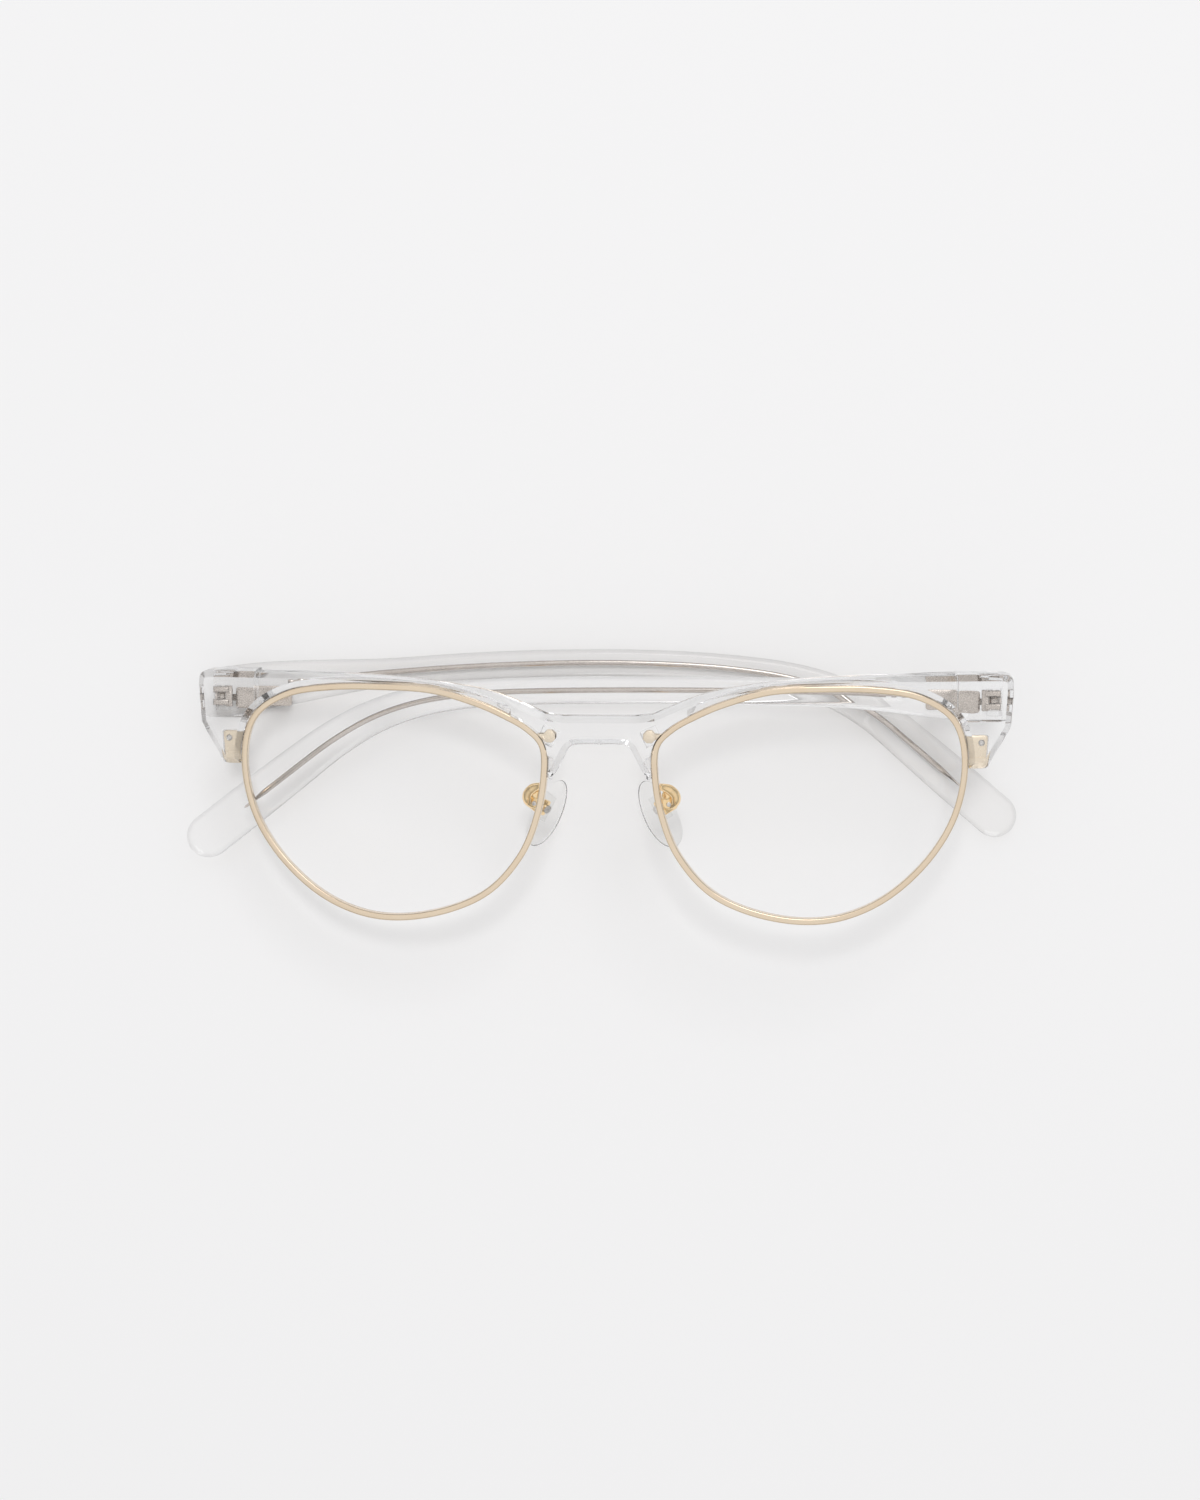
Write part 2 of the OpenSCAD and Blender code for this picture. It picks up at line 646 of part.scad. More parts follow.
front_acetate();
rim("left");  // rim_left
rim("right");  // rim_right
lens("left");  // lens_left
lens("right");  // lens_right
rim_lug("left");  // rim_lug_left
rim_lug("right");  // rim_lug_right
lug_pin("left");  // lug_pin_left
lug_pin("right");  // lug_pin_right
rim_screw("left");  // rim_screw_left
rim_screw("right");  // rim_screw_right
bridge_peg("left");  // bridge_peg_left
bridge_peg("right");  // bridge_peg_right
pad_arm("left");  // pad_arm_left
pad_arm("right");  // pad_arm_right
pad_mount("left");  // pad_mount_left
pad_mount("right");  // pad_mount_right
pad_screw("left");  // pad_screw_left
pad_screw("right");  // pad_screw_right
nose_pad("left");  // nose_pad_left
nose_pad("right");  // nose_pad_right
front_hinge_leaf("left");  // front_hinge_leaf_left
front_hinge_leaf("right");  // front_hinge_leaf_right
hinge_screw("left");  // hinge_screw_left
hinge_screw("right");  // hinge_screw_right
temple_hinge_leaf("left");  // temple_hinge_leaf_left
temple_hinge_leaf("right");  // temple_hinge_leaf_right
temple_core("left");  // temple_core_left
temple_core("right");  // temple_core_right
temple("left");  // temple_left
temple("right");  // temple_right
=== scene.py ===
# Folded browline reading glasses: clear acetate front and temples, gold eyewires, seen from straight above.
import math
import bmesh
import bpy
from mathutils import Matrix, Vector


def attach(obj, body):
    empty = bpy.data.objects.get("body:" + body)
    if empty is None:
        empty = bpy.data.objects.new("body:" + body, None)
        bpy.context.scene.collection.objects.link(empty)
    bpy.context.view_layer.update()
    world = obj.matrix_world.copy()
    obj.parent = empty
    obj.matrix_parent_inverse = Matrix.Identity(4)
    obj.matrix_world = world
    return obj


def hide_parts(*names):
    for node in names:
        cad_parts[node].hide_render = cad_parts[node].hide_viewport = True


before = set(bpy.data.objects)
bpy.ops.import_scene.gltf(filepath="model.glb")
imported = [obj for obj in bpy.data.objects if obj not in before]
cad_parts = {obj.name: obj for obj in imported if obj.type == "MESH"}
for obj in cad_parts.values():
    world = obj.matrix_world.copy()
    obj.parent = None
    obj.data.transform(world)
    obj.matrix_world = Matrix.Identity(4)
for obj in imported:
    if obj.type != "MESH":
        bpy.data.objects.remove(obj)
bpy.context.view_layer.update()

MM = 0.001
SIDES = ("left", "right")

# Sizes of the pair, in millimetres, as the solids have them
FRONT_R, FRONT_T, FRONT_LEAN = 350, 3.8, 6
END_X, END_LOW, END_SIDE = 70.5, 12.8, 5.6
BLOCK_IN, BLOCK_LOW, FOLD_ROOM = 10, 4.9, 4.13
BROW_H, BRIDGE_H, BRIDGE_DROP, BRIDGE_TOP_X = 3.4, 4.9, 3.6, 9.2
ARCH_X, LEG_LOW = 6.2, 14.3
ARCH_SHARES = [(1.34, 1), (1.18, 0.79), (1.02, 0.45), (0.82, 0.085), (0.52, 0), (0, 0)]
END_SHARES = [(0.1, 0), (0.36, 0.29), (0.72, 0.64), (1, 0.95)]
LENS_W, LENS_H, LENS_GAP, LENS_DROP, LENS_T = 52, 39, 19.6, 18.9, 1.6
LENS_X = (LENS_GAP + LENS_W) / 2
RIM_OUT, RIM_D, RIM_INSET = 1.0, 2.4, 0.5
LENS_SHARES = [
    (1.00, 0.36), (0.94, -0.08), (0.775, -0.46), (0.52, -0.78), (0.235, -0.96),
    (-0.06, -1.00), (-0.385, -0.915), (-0.65, -0.735), (-0.85, -0.42), (-0.955, -0.06),
    (-0.995, 0.28), (-0.985, 0.51), (-0.895, 0.645), (-0.76, 0.75), (-0.56, 0.865),
    (-0.26, 0.975), (0.08, 1.00), (0.425, 0.99), (0.72, 0.92), (0.935, 0.72),
]
PIN_IN, REAR_GAP, INNER_W, TEMPLE_T = 3.9, 1.9, 0.9, 3.2
OUTER_W = INNER_W + TEMPLE_T
TEMPLE_L, ROOT_H, MID_H, TIP_H, ROOT_END = 148, 8.5, 4.8, 7.6, 1.6
ROOT_FLAT, ROOT_TAPER, TIP_FROM, TIP_RISE, PATH_STEP = 2, 30, 84, 54, 1.5
FOLD_LEFT, FOLD_RIGHT = 4.6, 2.5
HEADING_SHARES = {
    "left": [(0, 8.0), (0.136, 6.4), (0.305, 3.3), (0.42, 1.0), (0.545, -2.6), (0.641, -8.2),
             (0.702, -17.2), (0.756, -29), (0.81, -40), (1, -40.5)],
    "right": [(0, 1.9), (0.136, 1.0), (0.305, 0.3), (0.447, -0.6), (0.556, -1.9), (0.637, -7.6),
              (0.698, -18), (0.752, -30), (0.813, -38), (1, -38.5)],
}
ROOT_V = {"left": 0.9, "right": 0.5}
CORE_START, CORE_END, CORE_POINT, CORE_W = 10.6, 131, 4.5, 1.25
TEETH, TOOTH_PITCH, TOOTH_DEPTH = 9, 0.9, 0.16
KNUCKLE_D, KNUCKLE_H = 2.7, 3.2
MIDDLE_KNUCKLE_H, KNUCKLE_GAP = 0.36 * KNUCKLE_H, 0.06
PRONG_H = (KNUCKLE_H - MIDDLE_KNUCKLE_H) / 2 - KNUCKLE_GAP
PRONG_L, STRIP_W, LEAF_T, LEAF_H, LEAF_PROUD = 1.6, 0.6, 1.0, 3.6, 0.4
LEAF_IN, LEAF_L = 2.4, 8.6
LUG_W, LUG_H, LUG_T, LUG_LOW, LUG_BACK, LUG_EDGE = 3.7, 5.2, 1.7, 12.3, 2.0, 0.2
LUG_X = LENS_X + LENS_W / 2 + RIM_OUT + 0.865 * LUG_W
PEG_IN, PEG_Y = 0.6, 7.1
PAD_L, PAD_W, PAD_T = 12.6, 7.6, 2.2
PAD_AT, PAD_FACE, PAD_SPLAY = (10.4, -21, -8.8), 45, 28
ARM_Y = 15.8


# Curves
def ease(t):
    """Smooth step from 0 to 1."""
    t = min(max(t, 0), 1)
    return t * t * (3 - 2 * t)


def dip(x):
    """How far the curved front falls away from the middle."""
    return math.sqrt(FRONT_R * FRONT_R - x * x) - FRONT_R


def curve_point(a, b, c, d, t):
    """Point of the smooth curve through a, b, c and d, between b and c."""
    return tuple(0.5 * (2 * q + (r - p) * t + (2 * p - 5 * q + 4 * r - s) * t * t
                        + (3 * q - p - 3 * r + s) * t ** 3) for p, q, r, s in zip(a, b, c, d))


def closed_curve(points, steps):
    n = len(points)
    return [curve_point(points[i - 1], points[i], points[(i + 1) % n], points[(i + 2) % n], j / steps)
            for i in range(n) for j in range(steps)]


def open_curve(points, steps):
    n = len(points)
    last = n - 1
    return [curve_point(points[max(i - 1, 0)], points[i], points[i + 1], points[min(i + 2, last)], j / steps)
            for i in range(last) for j in range(steps)] + [tuple(points[-1])]


def lookup(x, table):
    """Value at x, straight between the points of a table."""
    for (x0, y0), (x1, y1) in zip(table, table[1:]):
        if x <= x1:
            return y0 + (y1 - y0) * (max(x, x0) - x0) / (x1 - x0)
    return table[-1][1]


def grown(outline, d):
    """A clockwise outline moved outwards."""
    out = []
    for i, p in enumerate(outline):
        q, r = outline[i - 1], outline[(i + 1) % len(outline)]
        t = Vector((r[0] - q[0], r[1] - q[1])).normalized()
        out.append((p[0] - d * t.y, p[1] + d * t.x))
    return out


def rounded_corners(corners, r, steps=4):
    """A polygon whose corners are rounded by a radius."""
    out = []
    for i, c in enumerate(corners):
        c = Vector(c)
        a = c + (Vector(corners[i - 1]) - c).normalized() * r
        b = c + (Vector(corners[(i + 1) % len(corners)]) - c).normalized() * r
        for k in range(steps + 1):
            t = k / steps
            out.append(tuple((1 - t) ** 2 * a + 2 * t * (1 - t) * c + t * t * b))
    return out


# Middle line of a temple: points with their heading and their distance from the hinge
def temple_path(side):
    n = round(TEMPLE_L / PATH_STEP)
    step = TEMPLE_L / n
    head = HEADING_SHARES[side]
    a = lookup(0, head)
    path = [(-ROOT_END, ROOT_V[side] - ROOT_END * math.tan(math.radians(a)), a, -ROOT_END)]
    x, y = 0, ROOT_V[side]
    for i in range(n + 1):
        path.append((x, y, lookup(i / n, head), i * step))
        a = math.radians(lookup((i + 0.5) / n, head))
        x, y = x + step * math.cos(a), y + step * math.sin(a)
    return path


def path_at(path, s):
    """Point of the middle line at a distance from the hinge."""
    for p, q in zip(path[1:], path[2:]):
        if s <= q[3]:
            f = (s - p[3]) / (q[3] - p[3])
            return tuple(a + f * (b - a) for a, b in zip(p, q))
    return path[-1]


def temple_h(s):
    """Height of a temple at a distance from the hinge."""
    root = 1 - ease((s - ROOT_FLAT) / ROOT_TAPER)
    tip = ease((s - TIP_FROM) / TIP_RISE)
    return MID_H + (ROOT_H - MID_H) * root + (TIP_H - MID_H) * tip


def beside(q, d):
    """Point at a distance to the side of the middle line."""
    a = math.radians(q[2])
    return (q[0] - d * math.sin(a), q[1] + d * math.cos(a))


# Frames of the front, the temples and the nose pads
def turn(degrees, axis):
    return Matrix.Rotation(math.radians(degrees), 4, axis)


def shift(x, y, z):
    return Matrix.Translation((x, y, z))


END_DEPTH = RIM_INSET + RIM_D + FOLD_ROOM - dip(END_X)
PIN_X, PIN_Z = END_X - PIN_IN, -(END_DEPTH + REAR_GAP)
REST_V = path_at(temple_path("left"), PIN_X)[1]
LIFT = OUTER_W + PIN_X * math.sin(math.radians(FOLD_LEFT)) - PIN_Z * math.cos(math.radians(FOLD_LEFT))
MIRROR_X = Matrix.Scale(-1, 4, (1, 0, 0))
ROW = shift(0, -REST_V, LIFT) @ turn(-FOLD_LEFT, "Y")
FRONT = {"right": ROW @ turn(FRONT_LEAN, "X")}
FRONT["left"] = FRONT["right"] @ MIRROR_X
# Straight behind each end piece, with the hinge pin at the origin
HINGE = {"right": ROW @ shift(PIN_X, 0, PIN_Z), "left": ROW @ shift(-PIN_X, 0, PIN_Z) @ MIRROR_X}
TEMPLE = {
    "left": ROW @ shift(-PIN_X, 0, PIN_Z) @ turn(FOLD_LEFT, "Y"),
    "right": ROW @ shift(PIN_X, 0, PIN_Z) @ MIRROR_X @ turn(-FOLD_RIGHT, "Y"),
}
PAD_IN_FRONT = shift(*PAD_AT) @ turn(PAD_SPLAY, "Z") @ turn(-90 - PAD_FACE, "Y") @ turn(90, "Z")
PAD = {s: FRONT[s] @ PAD_IN_FRONT for s in SIDES}

LENS_EDGE = closed_curve([(LENS_X + u * LENS_W / 2, -LENS_DROP + v * LENS_H / 2)
                          for u, v in LENS_SHARES], 8)


def on_sheet(x, y, depth):
    """Frame on the curved front, a depth behind its face."""
    return shift(x, y, dip(x)) @ turn(math.degrees(math.asin(x / FRONT_R)), "Y") @ shift(0, 0, -depth)


# Building pieces
BEND_STEP = 2.5


def everything(bm):
    return bm.verts[:] + bm.edges[:] + bm.faces[:]


def verts_of(geom):
    return [g for g in geom if isinstance(g, bmesh.types.BMVert)]


def plate(outline, low, high):
    """A flat piece cut to an outline, between two heights."""
    bm = bmesh.new()
    bmesh.ops.create_circle(bm, cap_ends=True, cap_tris=False, segments=len(outline), radius=1)
    for v, p in zip(bm.verts, outline):
        v.co = (p[0], p[1], low)
    top = bmesh.ops.extrude_face_region(bm, geom=bm.faces[:])["geom"]
    bmesh.ops.translate(bm, vec=(0, 0, high - low), verts=verts_of(top))
    bmesh.ops.recalc_face_normals(bm, faces=bm.faces[:])
    return bm


def block(low, high, round_by=0.0):
    """A box between two corners, whose edges are rounded if a radius is given."""
    bm = bmesh.new()
    bmesh.ops.create_cube(bm, size=1)
    size = [b - a for a, b in zip(low, high)]
    middle = [(a + b) / 2 for a, b in zip(low, high)]
    bmesh.ops.scale(bm, vec=size, verts=bm.verts[:])
    bmesh.ops.translate(bm, vec=middle, verts=bm.verts[:])
    if round_by:
        bevel(bm, bm.edges[:], round_by, 3)
    return bm


def rod(radius, low, high, round_by=0.0, sides=40):
    """A round bar along Z."""
    bm = bmesh.new()
    bmesh.ops.create_cone(bm, cap_ends=True, cap_tris=False, segments=sides, radius1=radius, radius2=radius,
                          depth=high - low)
    bmesh.ops.translate(bm, vec=(0, 0, (low + high) / 2), verts=bm.verts[:])
    if round_by:
        bevel(bm, [e for e in bm.edges if e.calc_face_angle(0) > 1], round_by, 2)
    return bm


def swept(route, radii, sides=20):
    """A wire along a route, with a radius at each point."""
    bm = bmesh.new()
    route = [Vector(p) for p in route]
    up = Vector((0.55, 0.83, 0))
    ring = bmesh.ops.create_circle(bm, cap_ends=True, cap_tris=False, segments=sides, radius=1)["verts"]
    start = [v.co.copy() for v in ring]
    for i, p in enumerate(route):
        if i:
            faces = [f for f in bm.faces if all(v in ring for v in f.verts)]
            new = bmesh.ops.extrude_face_region(bm, geom=faces)["geom"]
            ring = verts_of(new)
            if i > 1:
                bmesh.ops.delete(bm, geom=[f for f in faces if f.is_valid], context="FACES_ONLY")
        along = (route[min(i + 1, len(route) - 1)] - route[max(i - 1, 0)]).normalized()
        u = along.cross(up).normalized()
        w = u.cross(along)
        for v, c in zip(ring, start):
            v.co = p + radii[i] * (c.x * u + c.y * w)
    bmesh.ops.recalc_face_normals(bm, faces=bm.faces[:])
    return bm


def bevel(bm, edges, size, segments=2):
    """Chamfers edges with one segment, and rounds them with more."""
    bmesh.ops.bevel(bm, geom=edges, offset=size, offset_type="OFFSET", segments=segments, profile=0.5,
                    affect="EDGES", clamp_overlap=False, material=-1)


def edges_at(bm, z, keep=lambda p: True):
    """Edges that lie at one height, and whose middle passes a test."""
    return [e for e in bm.edges if all(abs(v.co.z - z) < 1e-4 for v in e.verts)
            and keep((e.verts[0].co + e.verts[1].co) / 2)]


def moved(bm, matrix):
    bmesh.ops.transform(bm, matrix=matrix, verts=bm.verts[:])
    return bm


def carve(bm, tool, operation="DIFFERENCE"):
    """Cuts a tool out of a piece, or joins it on."""
    bodies = []
    for part in (bm, tool):
        bmesh.ops.recalc_face_normals(part, faces=part.faces[:])
        mesh = bpy.data.meshes.new("part")
        part.to_mesh(mesh)
        part.free()
        ob = bpy.data.objects.new("part", mesh)
        bpy.context.collection.objects.link(ob)
        bodies.append(ob)
    cut = bodies[0].modifiers.new("cut", "BOOLEAN")
    cut.operation = operation
    cut.object = bodies[1]
    cut.solver = "EXACT"
    result = bodies[0].evaluated_get(bpy.context.evaluated_depsgraph_get()).to_mesh()
    out = bmesh.new()
    out.from_mesh(result)
    for ob in bodies:
        mesh = ob.data
        bpy.data.objects.remove(ob)
        bpy.data.meshes.remove(mesh)
    return out


def bend(bm):
    """Lays a flat piece on the curved front, cut first into strips that can follow it."""
    x = min(v.co.x for v in bm.verts) + 1
    last = max(v.co.x for v in bm.verts)
    while x < last:
        bmesh.ops.bisect_plane(bm, geom=everything(bm), plane_co=(x, 0, 0), plane_no=(1, 0, 0))
        x += BEND_STEP
    bmesh.ops.triangulate(bm, faces=[f for f in bm.faces if len(f.verts) > 4], ngon_method="BEAUTY")
    for v in bm.verts:
        v.co.z += dip(v.co.x)
    return bm


def piece(name, bm, matrix, material, body, slot, *nodes, sharp=40):
    """Turns a bmesh in millimetres into a piece in its place, in metres."""
    bmesh.ops.triangulate(bm, faces=[f for f in bm.faces if len(f.verts) > 4], ngon_method="BEAUTY")
    bmesh.ops.transform(bm, matrix=Matrix.Scale(MM, 4) @ matrix, verts=bm.verts[:])
    bmesh.ops.recalc_face_normals(bm, faces=bm.faces[:])
    mesh = bpy.data.meshes.new(name)
    bm.to_mesh(mesh)
    bm.free()
    mesh.polygons.foreach_set("use_smooth", [True] * len(mesh.polygons))
    mesh.set_sharp_from_angle(angle=math.radians(sharp))
    mesh.materials.append(material)
    ob = bpy.data.objects.new(name, mesh)
    bpy.context.collection.objects.link(ob)
    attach(ob, body)
    if nodes:
        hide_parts(*nodes)
    return ob


# Materials
def new_material(name):
    mat = bpy.data.materials.new(name)
    mat.use_nodes = True
    nodes, links = mat.node_tree.nodes, mat.node_tree.links
    return mat, nodes, links, nodes["Principled BSDF"]


def noise(nodes, links, scale, detail=2):
    coord = nodes.new("ShaderNodeTexCoord")
    tex = nodes.new("ShaderNodeTexNoise")
    tex.inputs["Scale"].default_value = scale
    tex.inputs["Detail"].default_value = detail
    links.new(coord.outputs["Object"], tex.inputs["Vector"])
    return tex.outputs["Fac"]


def ranged(nodes, links, source, low, high):
    """Spreads the middle of a noise's values over a range."""
    r = nodes.new("ShaderNodeMapRange")
    r.inputs["From Min"].default_value = 0.3
    r.inputs["From Max"].default_value = 0.7
    r.inputs["To Min"].default_value = low
    r.inputs["To Max"].default_value = high
    links.new(source, r.inputs["Value"])
    return r.outputs["Result"]


def blended(nodes, links, source, a, b):
    """Colour a where the source is 0, and b where it is 1."""
    mix = nodes.new("ShaderNodeMix")
    mix.data_type = "RGBA"
    mix.inputs["A"].default_value = (*a, 1)
    mix.inputs["B"].default_value = (*b, 1)
    links.new(source, mix.inputs["Factor"])
    return mix.outputs["Result"]


def add_bump(nodes, links, bsdf, source, strength, distance):
    b = nodes.new("ShaderNodeBump")
    b.inputs["Strength"].default_value = strength
    b.inputs["Distance"].default_value = distance
    links.new(source, b.inputs["Height"])
    links.new(b.outputs["Normal"], bsdf.inputs["Normal"])


def clear_material(name, colour, edge, ior, rough, shade, edge_shade, wave=0, wave_scale=80):
    """Clear plastic or glass, darker along its outlines by painted shade, that lets light through to the
    table.
    """
    mat, nodes, links, bsdf = new_material(name)
    # Painted shade: the base colour turns to the edge colour where the surface is seen edge-on
    outline = nodes.new("ShaderNodeLayerWeight")
    outline.inputs["Blend"].default_value = 0.55
    links.new(blended(nodes, links, outline.outputs["Facing"], colour, edge), bsdf.inputs["Base Color"])
    bsdf.inputs["Transmission Weight"].default_value = 1
    bsdf.inputs["IOR"].default_value = ior
    fine = noise(nodes, links, 600, 3)
    links.new(ranged(nodes, links, fine, rough * 0.6, rough * 1.6), bsdf.inputs["Roughness"])
    if wave:
        add_bump(nodes, links, bsdf, noise(nodes, links, wave_scale, 1), wave, 0.0004)
    facing = nodes.new("ShaderNodeLayerWeight")
    facing.inputs["Blend"].default_value = 0.4
    through = nodes.new("ShaderNodeBsdfTransparent")
    links.new(blended(nodes, links, facing.outputs["Facing"], shade, edge_shade), through.inputs["Color"])
    path = nodes.new("ShaderNodeLightPath")
    seen = bsdf.outputs["BSDF"]
    for ray in ("Is Diffuse Ray", "Is Shadow Ray"):
        mix = nodes.new("ShaderNodeMixShader")
        links.new(path.outputs[ray], mix.inputs["Fac"])
        links.new(seen, mix.inputs[1])
        links.new(through.outputs["BSDF"], mix.inputs[2])
        seen = mix.outputs["Shader"]
    links.new(seen, nodes["Material Output"].inputs["Surface"])
    return mat


def metal_material(name, colour, dark, rough, grain):
    """Metal in two close tones, with a fine grain."""
    mat, nodes, links, bsdf = new_material(name)
    bsdf.inputs["Metallic"].default_value = 1
    tone = ranged(nodes, links, noise(nodes, links, 150, 3), 0, 1)
    links.new(blended(nodes, links, tone, dark, colour), bsdf.inputs["Base Color"])
    fine = noise(nodes, links, 2500)
    links.new(ranged(nodes, links, fine, rough * 0.8, rough * 1.25), bsdf.inputs["Roughness"])
    add_bump(nodes, links, bsdf, fine, grain, 0.00002)
    return mat


# The edge colours of the clear materials are painted shade along their outlines
WATER = (0.988, 0.99, 0.993)
ACETATE = clear_material("clear acetate", WATER, edge=(0.66, 0.66, 0.67), ior=1.48, rough=0.01,
                         shade=(0.995, 0.992, 0.988), edge_shade=(0.87, 0.86, 0.85), wave=0.004)
LENS = clear_material("clear lens", (0.999, 0.999, 1), edge=(0.96, 0.97, 0.97), ior=1.15, rough=0.004,
                      shade=(1, 1, 1), edge_shade=(0.99, 0.99, 0.99))
PAD_PLASTIC = clear_material("clear pad plastic", (0.995, 0.995, 0.99), edge=(0.95, 0.95, 0.945), ior=1.12,
                             rough=0.06, shade=(0.985, 0.98, 0.975), edge_shade=(0.92, 0.91, 0.9),
                             wave=0.02, wave_scale=400)
INSERT = clear_material("clear pad insert", (0.98, 0.98, 0.975), edge=(0.8, 0.8, 0.79), ior=1.06, rough=0.05,
                        shade=(0.98, 0.975, 0.97), edge_shade=(0.9, 0.9, 0.9))
GOLD_RIM = metal_material("champagne gold wire", (0.87, 0.735, 0.57), (0.84, 0.69, 0.52), rough=0.2,
                          grain=0.03)
GOLD_PLATE = metal_material("champagne gold plate", (0.97, 0.85, 0.68), (0.94, 0.81, 0.64), rough=0.32,
                            grain=0.05)
GOLD_ARM = metal_material("bright gold arm", (1.0, 0.77, 0.47), (0.97, 0.73, 0.42), rough=0.09, grain=0.0)
SILVER_SCREW = metal_material("polished steel screw", (0.76, 0.74, 0.72), (0.7, 0.68, 0.66), rough=0.3,
                              grain=0.03)
HINGE_SILVER = metal_material("satin plated hinge", (0.64, 0.58, 0.53), (0.56, 0.51, 0.47), rough=0.27,
                              grain=0.015)
CORE_SILVER = metal_material("bright core wire", (0.66, 0.61, 0.57), (0.58, 0.53, 0.49), rough=0.1,
                             grain=0.02)


# Acetate front
FACE, CHAMFER, CHAMFER_ROUND, BLOCK_ROUND = -0.02, 1.1, 0.4, 0.45
RIM_FIT = 0.05


def front_outline():
    """Right half, from the middle of the bridge's top edge clockwise to the middle of its arch."""
    crown = BRIDGE_DROP + BRIDGE_H
    brow = open_curve([
        (BRIDGE_TOP_X, -BRIDGE_DROP + 0.1 * BROW_H), (LENS_X - 0.36 * LENS_W, -BRIDGE_DROP + 1.05 * BROW_H),
        (LENS_X - 0.22 * LENS_W, 0.45 * BROW_H), (LENS_X - 0.025 * LENS_W, 0.8 * BROW_H),
        (LENS_X + 0.2 * LENS_W, 0.97 * BROW_H), (END_X - BLOCK_IN, BROW_H)], 6)
    corner = open_curve([(END_X - 2.2, BROW_H), (END_X - 0.9, 0.93 * BROW_H), (END_X - 0.15, 0.7 * BROW_H),
                         (END_X, 0.1 * BROW_H)], 3)
    low_x = LUG_X + LUG_EDGE
    side = open_curve([(END_X - u * (END_X - low_x), -END_SIDE - v * (END_LOW - END_SIDE))
                       for u, v in END_SHARES], 3)
    foot = [(low_x - 0.5, -END_LOW + 0.1), (low_x - 1.1, -END_LOW)]
    rim = grown(LENS_EDGE, RIM_OUT + RIM_FIT)
    n = len(rim)
    # The rim's edge is walked backwards, from the temple side over the top to the nose side
    start = next(i for i in range(n) if rim[i][1] < -END_LOW and rim[i][0] > LENS_X)
    inner, i = [], start - 1
    while not (rim[i % n][0] < LENS_X and rim[i % n][1] < -LEG_LOW + 0.2):
        inner.append(rim[i % n])
        i -= 1
    arch = open_curve([(u * ARCH_X, -crown - v * (LEG_LOW - crown)) for u, v in ARCH_SHARES], 5)
    return [(0, -BRIDGE_DROP), (BRIDGE_TOP_X - 3.1, -BRIDGE_DROP)] + brow + corner + side + foot \
        + [(inner[0][0], -END_LOW)] + inner + [(inner[-1][0] - 0.02, -LEG_LOW)] + arch


def beside_rim(p):
    """Whether a point lies on the edge that holds the eyewire."""
    rim = grown(LENS_EDGE, RIM_OUT + RIM_FIT)
    return min((abs(p.x) - q[0]) ** 2 + (p.y - q[1]) ** 2 for q in rim) < 0.09


def acetate_front():
    half = front_outline()
    bm = plate(half + [(-x, y) for x, y in reversed(half[1:-1])], -FRONT_T, FACE)
    # Deep blocks behind the end pieces, with their rear faces square to the hinge line
    for sx in (1, -1):
        for co, no in (((sx * (END_X - BLOCK_IN), 0, 0), (1, 0, 0)), ((0, -BLOCK_LOW, 0), (0, 1, 0))):
            back = [f for f in bm.faces if all(abs(v.co.z + FRONT_T) < 1e-4 for v in f.verts)
                    and (f.calc_center_median().x * sx > 0 or len(f.verts) > 60)]
            edges = list(dict.fromkeys(e for f in back for e in f.edges))
            geom = back + edges + list(dict.fromkeys(v for f in back for v in f.verts))
            bmesh.ops.bisect_plane(bm, geom=geom, plane_co=co, plane_no=no)
    blocks = [f for f in bm.faces if all(abs(v.co.z + FRONT_T) < 1e-4 for v in f.verts)
              and min(abs(v.co.x) for v in f.verts) > END_X - BLOCK_IN - 0.01
              and min(v.co.y for v in f.verts) > -BLOCK_LOW - 0.01]
    rear = verts_of(bmesh.ops.extrude_face_region(bm, geom=blocks)["geom"])
    lean = math.radians(FRONT_LEAN)
    for v in rear:
        v.co.z = (-END_DEPTH - v.co.y * math.sin(lean)) / math.cos(lean) - dip(v.co.x)
    bmesh.ops.delete(bm, geom=blocks, context="FACES_ONLY")
    bmesh.ops.delete(bm, geom=[e for e in bm.edges if not e.link_faces], context="EDGES")
    bmesh.ops.recalc_face_normals(bm, faces=bm.faces[:])
    bevel(bm, [e for e in bm.edges if e.verts[0] in rear and e.verts[1] in rear], BLOCK_ROUND, 2)
    # A flat chamfer along the outer front edges, with its own outer edge rounded
    bevel(bm, edges_at(bm, FACE, lambda p: not beside_rim(p)), CHAMFER, 1)
    bevel(bm, edges_at(bm, FACE - CHAMFER, lambda p: not beside_rim(p)), CHAMFER_ROUND, 3)
    return bend(bm)


POCKET_FIT, STRIP_FIT, PEG_POCKET, PEG_TURN = 0.08, 0.06, 1.45, 24


